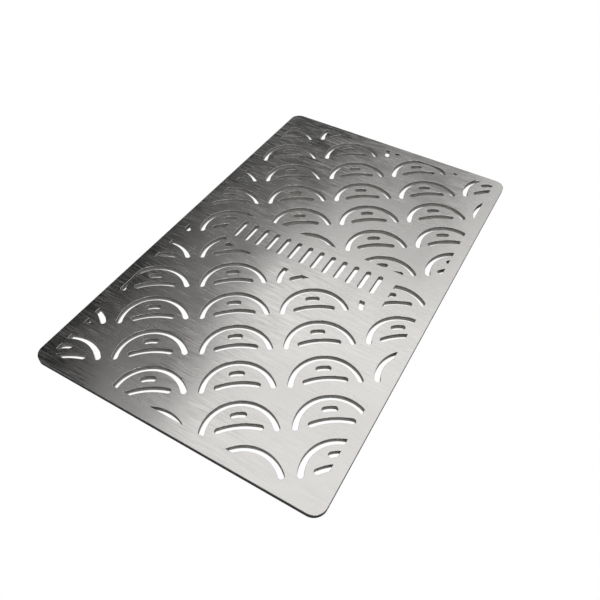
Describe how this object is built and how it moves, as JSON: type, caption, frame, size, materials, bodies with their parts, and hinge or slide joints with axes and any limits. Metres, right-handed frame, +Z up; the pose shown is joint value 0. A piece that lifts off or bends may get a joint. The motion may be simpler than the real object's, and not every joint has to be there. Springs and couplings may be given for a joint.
{
  "type": "grill grate",
  "caption": "Flat laser-cut stainless steel cooking grate with round corners, repeating sets of arc slots inside a plain border, and a row of upright slots across the middle.",
  "frame": {"origin": "middle of the underside of the plate", "axes": "+Y along the long side, +X along the short side, +Z up out of the cooking face"},
  "size_m": [0.282, 0.457, 0.0052],
  "materials": {
    "brushed_stainless": "fine brushing along the short side, satin, with dull laser-cut slot walls"
  },
  "bodies": {
    "root": {"grate_plate": "brushed_stainless"}
  },
  "joints": []
}
